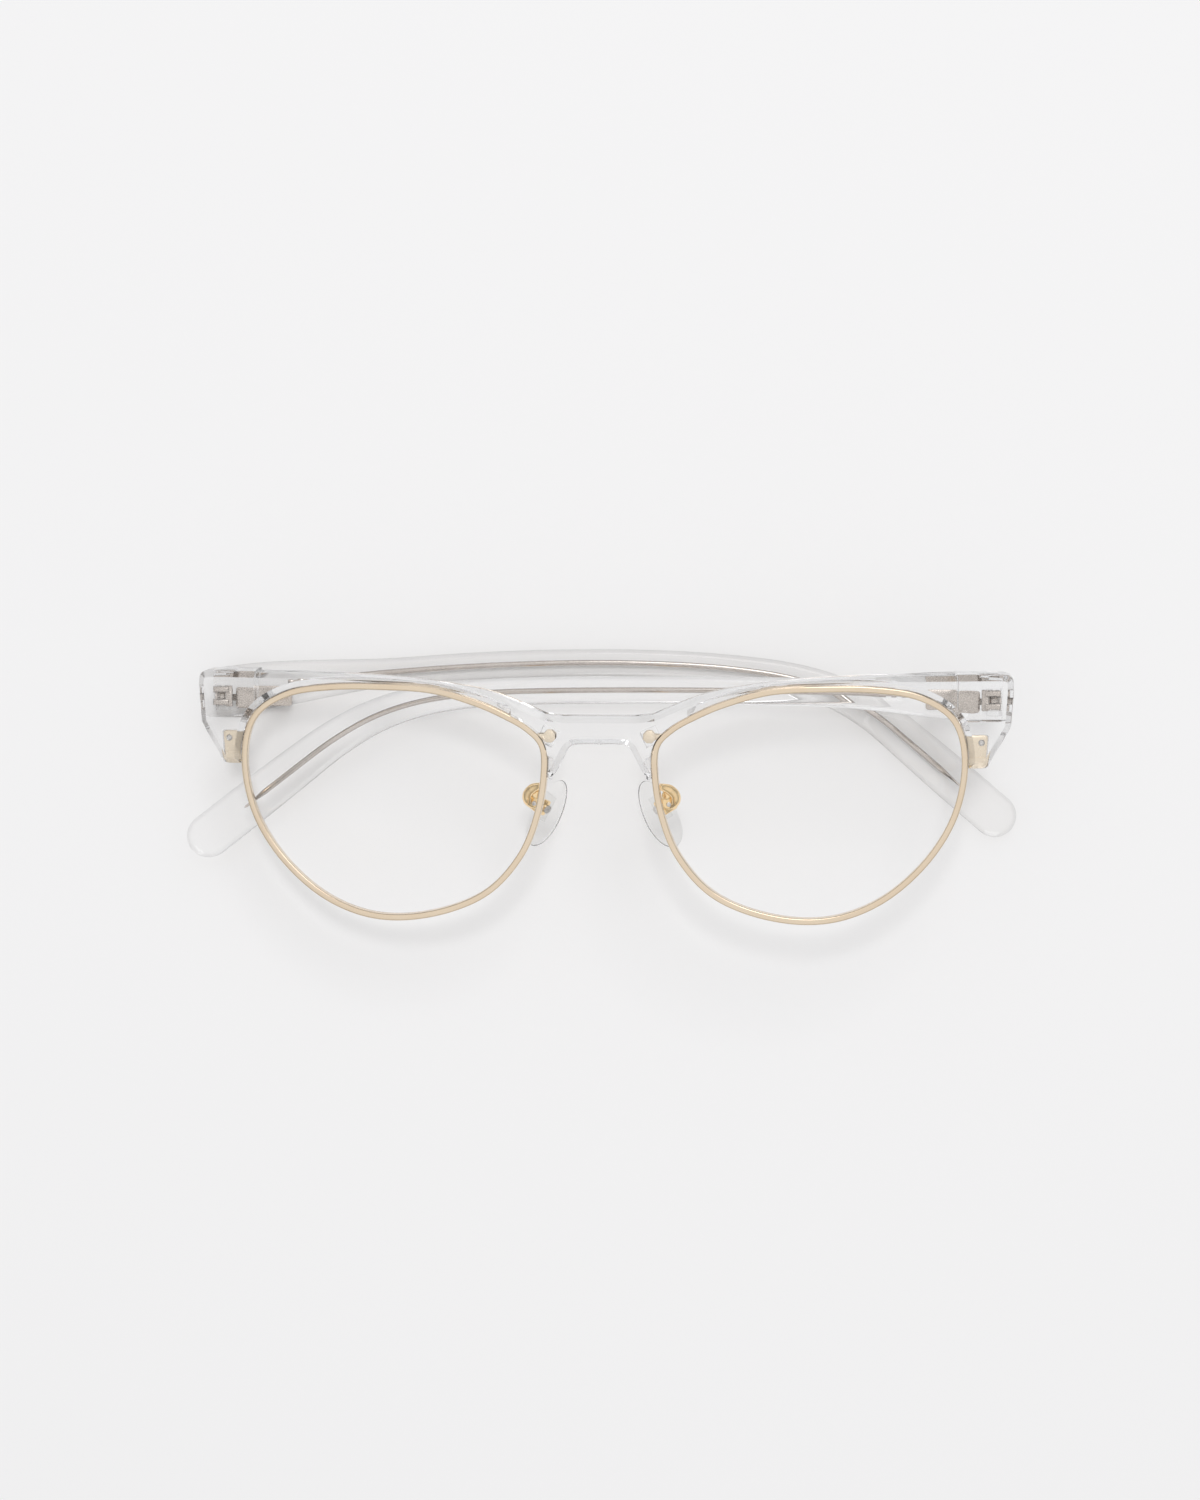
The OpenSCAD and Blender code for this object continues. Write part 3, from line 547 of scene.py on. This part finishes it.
def front_pockets():
    """Seats of the lugs, the bridge pegs and the hinges, cut in from behind."""
    tools = []
    for s in (1, -1):
        flip = MIRROR_X if s < 0 else Matrix.Identity(4)
        corner = rounded_corners([(-8, LUG_H + 0.1), (0.55, LUG_H + 0.1), (0.1, 0)], 0.5)[5:10]
        lug = plate([(0.05, -2), (-8, -2), (-8, LUG_H + 0.1)] + corner, -FRONT_T - 1, 0.06)
        tools.append(moved(lug, flip @ on_sheet(LUG_X, -LUG_LOW, LUG_BACK)))
        peg = block((-PEG_POCKET, -PEG_POCKET, -FRONT_T - 1), (PEG_POCKET, PEG_POCKET, 0))
        tools.append(moved(peg, flip @ on_sheet(LENS_GAP / 2 - PEG_IN - 0.35, -PEG_Y, RIM_INSET + 0.35)
                           @ turn(PEG_TURN, "Z")))
        hinge = turn(-FRONT_LEAN, "X") @ shift(PIN_X, 0, PIN_Z)
        for m in (1, -1):
            low = MIDDLE_KNUCKLE_H / 2 + KNUCKLE_GAP - POCKET_FIT
            y = sorted((m * low, m * (low + PRONG_H + 2 * POCKET_FIT)))
            slot = block((-KNUCKLE_D / 2 - POCKET_FIT, y[0], REAR_GAP - 1),
                         (KNUCKLE_D / 2 + POCKET_FIT, y[1], REAR_GAP + PRONG_L + POCKET_FIT))
            tools.append(moved(slot, flip @ hinge))
        strip = block((-KNUCKLE_D / 2 - STRIP_W - STRIP_FIT, -LEAF_H / 2 - STRIP_FIT, REAR_GAP - 1),
                      (-KNUCKLE_D / 2 + STRIP_W + STRIP_FIT, LEAF_H / 2 + STRIP_FIT,
                       REAR_GAP + LEAF_T + STRIP_FIT))
        tools.append(moved(strip, flip @ hinge))
    return tools


front_bm = acetate_front()
for tool in front_pockets():
    front_bm = carve(front_bm, tool)
piece("front_acetate_clear", front_bm, FRONT["right"], ACETATE, "front", "clear_acetate", "front_acetate",
      sharp=24)


# Lenses and eyewires
WIRE_IN, WIRE_ROUND = 0.12, 0.26


def lens():
    return bend(plate(LENS_EDGE, -RIM_INSET - (RIM_D + LENS_T) / 2, -RIM_INSET - (RIM_D - LENS_T) / 2))


def eyewire():
    """The flat face of the wire is drawn as a ring, deepened, and rounded along its edges."""
    bm = bmesh.new()
    ring = bmesh.ops.create_circle(bm, cap_ends=False, segments=len(LENS_EDGE), radius=1)["verts"]
    for v, p in zip(ring, grown(LENS_EDGE, RIM_OUT)):
        v.co = (p[0], p[1], -RIM_INSET)
    inner = bmesh.ops.extrude_edge_only(bm, edges=bm.edges[:])["geom"]
    inner_line = [(p[0] - q[0], p[1] - q[1])
                  for p, q in zip(grown(LENS_EDGE, -WIRE_IN), grown(LENS_EDGE, RIM_OUT))]
    new = verts_of(inner)
    step = {v: next(e.other_vert(v) for e in v.link_edges if e.other_vert(v) in ring) for v in new}
    order = {v: i for i, v in enumerate(ring)}
    for v in new:
        d = inner_line[order[step[v]]]
        v.co += Vector((d[0], d[1], 0))
    deep = bmesh.ops.extrude_face_region(bm, geom=bm.faces[:])["geom"]
    bmesh.ops.translate(bm, vec=(0, 0, -RIM_D), verts=verts_of(deep))
    bmesh.ops.recalc_face_normals(bm, faces=bm.faces[:])
    bevel(bm, [e for e in bm.edges if e.calc_face_angle(0) > 1], WIRE_ROUND, 3)
    for v in bm.verts:
        v.co.z += dip(v.co.x)
    return bm


for s in SIDES:
    piece(f"lens_clear_{s}", lens(), FRONT[s], LENS, "front", "lens", f"lens_{s}")
    piece(f"eyewire_{s}", eyewire(), FRONT[s], GOLD_RIM, "front", "gold_rim", f"rim_{s}", sharp=60)


# Lug plates with their rivets, and the bridge pegs
RIVET_AT, RIVET_R, RIVET_ROOM = (-0.7, 0.76 * LUG_H), 0.54, 0.02
SEAM_LOW, SEAM_HIGH, SEAM_DEEP = 1.42, 1.58, 0.14
PEG_R, PEG_ROUND = 1.15, 0.14


def lug_plate():
    reach = LUG_X - LENS_X - LENS_W / 4
    outline = rounded_corners([(-reach, 0), (-reach, LUG_H), (0.45, LUG_H), (0, 0)], 0.55)
    bm = plate(outline, -LUG_T, 0)
    bevel(bm, [e for e in bm.edges if e.calc_face_angle(0) > 1], 0.16, 2)
    # Seam of the block that the rim's screw closes
    seam = block((-2 * LUG_W, SEAM_LOW, -SEAM_DEEP), (1, SEAM_HIGH, 1))
    bm = carve(bm, seam)
    bm = carve(bm, moved(rod(RIVET_R + RIVET_ROOM, -LUG_T - 1, 1, sides=32), shift(*RIVET_AT, 0)))
    moved(bm, on_sheet(LUG_X, -LUG_LOW, LUG_BACK))
    inside = plate(grown(LENS_EDGE, RIM_OUT + 0.02), -30, 10)
    return carve(bm, inside)


def rivet():
    """A pin with a rounded head that has a dimple in it."""
    bm = rod(RIVET_R, -LUG_T, 0.12)
    top = max(bm.faces, key=lambda f: f.calc_center_median().z)
    edge = top.edges[:]
    bmesh.ops.inset_region(bm, faces=[top], thickness=0.2)
    bmesh.ops.translate(bm, vec=(0, 0, -0.22), verts=top.verts[:])
    bevel(bm, edge, 0.09, 3)
    return moved(bm, on_sheet(LUG_X, -LUG_LOW, LUG_BACK) @ shift(*RIVET_AT, 0))


def bridge_peg():
    """An eight-sided peg with a neck that joins it to the rim."""
    bm = rod(PEG_R, -RIM_D + 0.4, 0, sides=8)
    moved(bm, turn(22.5, "Z"))
    bevel(bm, edges_at(bm, 0), PEG_ROUND, 2)
    neck = block((0.6, -0.5, -RIM_D + 0.4), (2.2, 0.5, -0.25), 0.15)
    bm = carve(bm, neck, "UNION")
    moved(bm, on_sheet(LENS_GAP / 2 - PEG_IN - 0.62, -PEG_Y, RIM_INSET + 0.4))
    return carve(bm, plate(grown(LENS_EDGE, RIM_OUT - 0.1), -30, 10))


for s in SIDES:
    piece(f"lug_plate_{s}", lug_plate(), FRONT[s], GOLD_PLATE, "front", "gold_rim", f"rim_lug_{s}", sharp=30)
    piece(f"lug_rivet_{s}", rivet(), FRONT[s], SILVER_SCREW, "front", "silver_screw", f"lug_pin_{s}",
          sharp=30)
    piece(f"bridge_peg_block_{s}", bridge_peg(), FRONT[s], GOLD_PLATE, "front", "gold_rim",
          f"bridge_peg_{s}", sharp=30)


# Hinges
HINGE_ROUND = 0.12


def along_y(bm):
    return moved(bm, turn(-90, "X"))


def hinge_prongs():
    """Two knuckles on webs, with the prongs that sink into the end piece and the strip between them."""
    low, half = MIDDLE_KNUCKLE_H / 2 + KNUCKLE_GAP, KNUCKLE_H / 2
    bm = block((-KNUCKLE_D / 2 - STRIP_W, -LEAF_H / 2, REAR_GAP),
               (-KNUCKLE_D / 2 + STRIP_W, LEAF_H / 2, REAR_GAP + LEAF_T), HINGE_ROUND)
    for m in (1, -1):
        y = sorted((m * low, m * half))
        bm = carve(bm, along_y(rod(KNUCKLE_D / 2, y[0], y[1], HINGE_ROUND)), "UNION")
        web = block((-KNUCKLE_D / 2 + 0.05, y[0] + 0.02, 0), (0.45, y[1] - 0.02, REAR_GAP + 0.5))
        bm = carve(bm, web, "UNION")
        prong = block((-KNUCKLE_D / 2, y[0], REAR_GAP), (KNUCKLE_D / 2, y[1], REAR_GAP + PRONG_L), 0.14)
        bm = carve(bm, prong, "UNION")
    return bm


def temple_leaf():
    """One knuckle and the flat leaf let into the temple's inner side."""
    half = MIDDLE_KNUCKLE_H / 2
    top = -INNER_W + LEAF_PROUD
    bm = along_y(rod(KNUCKLE_D / 2, -half, half, HINGE_ROUND))
    strip = block((0.1, -half + 0.02, top - LEAF_T + 0.02), (LEAF_IN + 1, half - 0.02, top - 0.02))
    bm = carve(bm, strip, "UNION")
    far = LEAF_IN + LEAF_L
    corners = [(LEAF_IN, -LEAF_H / 2), (LEAF_IN, LEAF_H / 2), (far, LEAF_H / 2), (far, -LEAF_H / 2)]
    leaf = plate(rounded_corners(corners, 0.5), top - LEAF_T, top)
    bevel(leaf, edges_at(leaf, top), 0.16, 2)
    return carve(bm, leaf, "UNION")


for s in SIDES:
    piece(f"hinge_prongs_{s}", hinge_prongs(), HINGE[s], HINGE_SILVER, "front", "hinge_silver",
          f"front_hinge_leaf_{s}", sharp=30)
    piece(f"temple_leaf_{s}", temple_leaf(), TEMPLE[s], HINGE_SILVER, f"temple_{s}", "hinge_silver",
          f"temple_hinge_leaf_{s}", sharp=30)


# Temples
CORE_TIP, WIRE_W, WIRE_T, CORE_ROUND = CORE_END + 4.5, 0.95, 0.7, 0.29
ROOT_SLANT, TEMPLE_ROUND, HINGE_ROOM, HINGE_ROOM_END = 5, 1.05, 0.3, 0.65


def temple_outline(path):
    body = [q for q in path if q[3] <= TEMPLE_L - TIP_H / 2]
    end, r = body[-1], temple_h(body[-1][3]) / 2 - 0.01
    tip = []
    for k in range(1, 18):
        a = math.radians(end[2] + 90 - 10 * k)
        tip.append((end[0] + r * math.cos(a), end[1] + r * math.sin(a)))
    return [beside(q, temple_h(q[3]) / 2) for q in body] + tip \
        + [beside(q, -temple_h(q[3]) / 2) for q in reversed(body)]


def temple_body(side):
    bm = plate(temple_outline(temple_path(side)), -OUTER_W, -INNER_W)
    # The root face slants, and meets the end piece squarely when the temple is open
    slant = math.radians(ROOT_SLANT)
    root = (-ROOT_END, 0, -INNER_W)
    facing = (-math.cos(slant), 0, -math.sin(slant))
    cut = bmesh.ops.bisect_plane(bm, geom=everything(bm), plane_co=root, plane_no=facing, clear_outer=True)
    bmesh.ops.holes_fill(bm, edges=[g for g in cut["geom_cut"] if isinstance(g, bmesh.types.BMEdge)])
    bmesh.ops.recalc_face_normals(bm, faces=bm.faces[:])
    along = [e for e in bm.edges if e.calc_face_angle(0) > 0.7 and max(v.co.x for v in e.verts) > -1]
    bevel(bm, along, TEMPLE_ROUND, 5)
    reach = KNUCKLE_H / 2 + HINGE_ROOM_END
    room = along_y(rod(KNUCKLE_D / 2 + HINGE_ROOM, -reach, reach))
    return carve(bm, room)


def core_wire(side):
    """Flat strip, toothed next to the leaf, that thins into a wire and ends in a long point."""
    path = temple_path(side)
    stations = [(CORE_START + (k + f) * TOOTH_PITCH, CORE_W / 2 - (TOOTH_DEPTH if k % 2 else 0))
                for k in range(TEETH) for f in (0.04, 0.96)]
    s = CORE_START + TEETH * TOOTH_PITCH + 4
    while s < CORE_TIP - CORE_POINT:
        stations.append((s, WIRE_W / 2))
        s += PATH_STEP
    stations += [(CORE_TIP - CORE_POINT, WIRE_W / 2), (CORE_TIP, 0.08)]
    mid = -INNER_W - TEMPLE_T / 2
    outline = [beside(path_at(path, s), h) for s, h in stations]
    outline += [beside(path_at(path, s), -h) for s, h in reversed(stations)]
    bm = plate(outline, mid - WIRE_T / 2, mid + WIRE_T / 2)
    bevel(bm, edges_at(bm, mid + WIRE_T / 2) + edges_at(bm, mid - WIRE_T / 2), CORE_ROUND, 2)
    return bm


for s in SIDES:
    piece(f"temple_clear_{s}", temple_body(s), TEMPLE[s], ACETATE, f"temple_{s}", "clear_acetate",
          f"temple_{s}", sharp=24)
    piece(f"core_wire_{s}", core_wire(s), TEMPLE[s], CORE_SILVER, f"temple_{s}", "core_silver",
          f"temple_core_{s}", sharp=35)


# Nose pads and their arms
CLAMP_AT, CLAMP_TILT = (11.5, -18.9, -6.1), 20
PAD_FACE_SHARE, PAD_BACK_SHARE, PAD_TAPER = 0.58, 0.42, 0.12
PAD_SLIM = 2.16
CUP_X, CUP_Z, CUP_SIDE, CUP_WALL = (-0.4, 2.4), (-2.54, -0.65), 1.57, 0.5


def nose_pad():
    bm = bmesh.new()
    bmesh.ops.create_uvsphere(bm, u_segments=48, v_segments=24, radius=1)
    for v in bm.verts:
        # Fuller at the lower end, and flatter on its back than on the face that touches the nose
        taper = 1 - PAD_TAPER * v.co.x
        share = PAD_FACE_SHARE if v.co.z > 0 else PAD_BACK_SHARE
        v.co = (v.co.x * PAD_L / 2, v.co.y * taper * PAD_W / PAD_SLIM,
                PAD_T * (PAD_BACK_SHARE + v.co.z * share))
    return bm


def pad_arm():
    """Wire from the back of the rim, thicker round its bend, that ends in a clamp with a lobe."""
    foot = (9.87, -ARM_Y, dip(10) - RIM_INSET - RIM_D + 0.1)
    route = open_curve([foot, (9.95, -ARM_Y, foot[2] - 0.7), (10.7, -16.1, -4.5), (11.8, -16.6, -5.2),
                        (12.7, -17.6, -5.7), (12.7, -18.9, -6.1), (11.9, -19.7, -6.5)], 6)
    radii = [lookup(i / (len(route) - 1), [(0, 0.48), (0.25, 0.55), (0.5, 0.9), (0.75, 0.9), (1, 0.5)])
             for i in range(len(route))]
    bm = swept(route, radii)
    cheek = moved(rod(1.3, -0.7, 0.2, 0.3), shift(*CLAMP_AT) @ turn(CLAMP_TILT, "Y"))
    bm = carve(bm, cheek, "UNION")
    lobe = moved(rod(0.8, -0.8, 0.75, 0.3), shift(CLAMP_AT[0] - 0.3, CLAMP_AT[1] + 1.3, CLAMP_AT[2] + 0.3))
    return carve(bm, lobe, "UNION")


def pad_cup():
    """An open box round the pad's mount."""
    bm = block((CUP_X[0], -CUP_SIDE, CUP_Z[0]), (CUP_X[1], CUP_SIDE, CUP_Z[1]), 0.3)
    inside = CUP_SIDE - CUP_WALL
    return carve(bm, block((CUP_X[0] - 1, -inside, CUP_Z[0] + CUP_WALL), (CUP_X[1] + 1, inside, 1)))


def clamp_screw():
    """A small slotted screw in the arm's clamp."""
    bm = rod(0.42, -0.6, 0.5, 0.08, 28)
    slot = block((-1, -0.08, 0.36), (1, 0.08, 1))
    place = shift(*CLAMP_AT) @ turn(CLAMP_TILT, "Y") @ shift(0, -0.3, 0) @ turn(35, "Z")
    return moved(carve(bm, slot), place)


for s in SIDES:
    piece(f"pad_clear_{s}", nose_pad(), PAD[s], PAD_PLASTIC, f"pad_{s}", "pad_plastic", f"nose_pad_{s}",
          sharp=60)
    piece(f"pad_arm_wire_{s}", pad_arm(), FRONT[s], GOLD_ARM, "front", "gold_arm", f"pad_arm_{s}", sharp=50)
    piece(f"pad_cup_{s}", pad_cup(), PAD[s], GOLD_ARM, "front", "gold_arm", sharp=30)
    piece(f"pad_clamp_screw_{s}", clamp_screw(), FRONT[s], SILVER_SCREW, "front", "silver_screw", sharp=30)

# Finishes of the solids in the frame
FINISH = {
    "rim_lug": GOLD_PLATE, "bridge_peg": GOLD_PLATE, "lug_pin": SILVER_SCREW, "rim_screw": GOLD_ARM,
    "pad_arm": GOLD_ARM, "pad_mount": INSERT, "pad_screw": SILVER_SCREW, "front_hinge_leaf": HINGE_SILVER,
    "temple_hinge_leaf": HINGE_SILVER, "hinge_screw": SILVER_SCREW, "front_acetate": ACETATE,
    "temple": ACETATE, "temple_core": CORE_SILVER, "rim": GOLD_RIM, "lens": LENS, "nose_pad": PAD_PLASTIC,
}
for name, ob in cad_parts.items():
    kind = name.removesuffix("_left").removesuffix("_right")
    ob.data.materials.clear()
    ob.data.materials.append(FINISH[kind])

# Table, wide enough to run past the picture from any side
TABLE_REACH = 6
floor_bm = bmesh.new()
bmesh.ops.create_grid(floor_bm, x_segments=1, y_segments=1, size=TABLE_REACH)
floor_mesh = bpy.data.meshes.new("table")
floor_bm.to_mesh(floor_mesh)
floor_bm.free()
floor = bpy.data.objects.new("table", floor_mesh)
bpy.context.collection.objects.link(floor)
table_mat, _, _, bsdf = new_material("matt white table")
bsdf.inputs["Base Color"].default_value = (0.885, 0.885, 0.893, 1)
bsdf.inputs["Roughness"].default_value = 0.9
bsdf.inputs["Specular IOR Level"].default_value = 0.1
floor_mesh.materials.append(table_mat)

# Soft sky of the studio: bright overhead, darker towards the walls
world = bpy.data.worlds.new("studio")
bpy.context.scene.world = world
world.use_nodes = True
sky, sky_links = world.node_tree.nodes, world.node_tree.links
direction = sky.new("ShaderNodeTexCoord")
parts = sky.new("ShaderNodeSeparateXYZ")
rise = sky.new("ShaderNodeMapRange")
rise.interpolation_type = "SMOOTHSTEP"
rise.inputs["From Min"].default_value = 0.05
rise.inputs["From Max"].default_value = 0.9
rise.inputs["To Min"].default_value = 0.28
rise.inputs["To Max"].default_value = 0.87
sky_links.new(direction.outputs["Generated"], parts.inputs["Vector"])
sky_links.new(parts.outputs["Z"], rise.inputs["Value"])
sky_links.new(rise.outputs["Result"], sky["Background"].inputs["Strength"])
sky["Background"].inputs["Color"].default_value = (1, 0.995, 0.99, 1)

# Lamps
AIM = Vector((0, -0.02, 0))


def soft_light(name, at, size, power, mirrored=True):
    """A round lamp aimed at the pair. One that isn't mirrored shows in no metal or plastic."""
    data = bpy.data.lights.new(name, "AREA")
    data.shape = "DISK"
    data.size = size
    data.energy = power
    ob = bpy.data.objects.new(name, data)
    bpy.context.collection.objects.link(ob)
    ob.visible_glossy = mirrored
    ob.visible_transmission = mirrored
    ob.location = at
    ob.rotation_euler = (AIM - Vector(at)).to_track_quat("-Z", "Y").to_euler()


soft_light("overhead key", (0, 0.46, 1.85), 0.45, 7.3, mirrored=False)
soft_light("slanting softbox", (0.4, 0.95, 1.45), 0.9, 4.2)

# Camera straight above, with its focal length and the height of the frame in pixels
SENSOR, FOCAL_PX, FRAME_PX = 24, 3409, 1500
camera = bpy.data.objects.new("camera", bpy.data.cameras.new("camera"))
bpy.context.collection.objects.link(camera)
camera.location = (0.0003, -0.01545, 0.605)
camera.rotation_euler = (0, 0, math.radians(0.42))
camera.data.sensor_fit = "VERTICAL"
camera.data.sensor_height = SENSOR
camera.data.lens = SENSOR * FOCAL_PX / FRAME_PX
camera.data.clip_start = 0.01
bpy.context.scene.camera = camera
bpy.context.scene.view_settings.view_transform = "Standard"
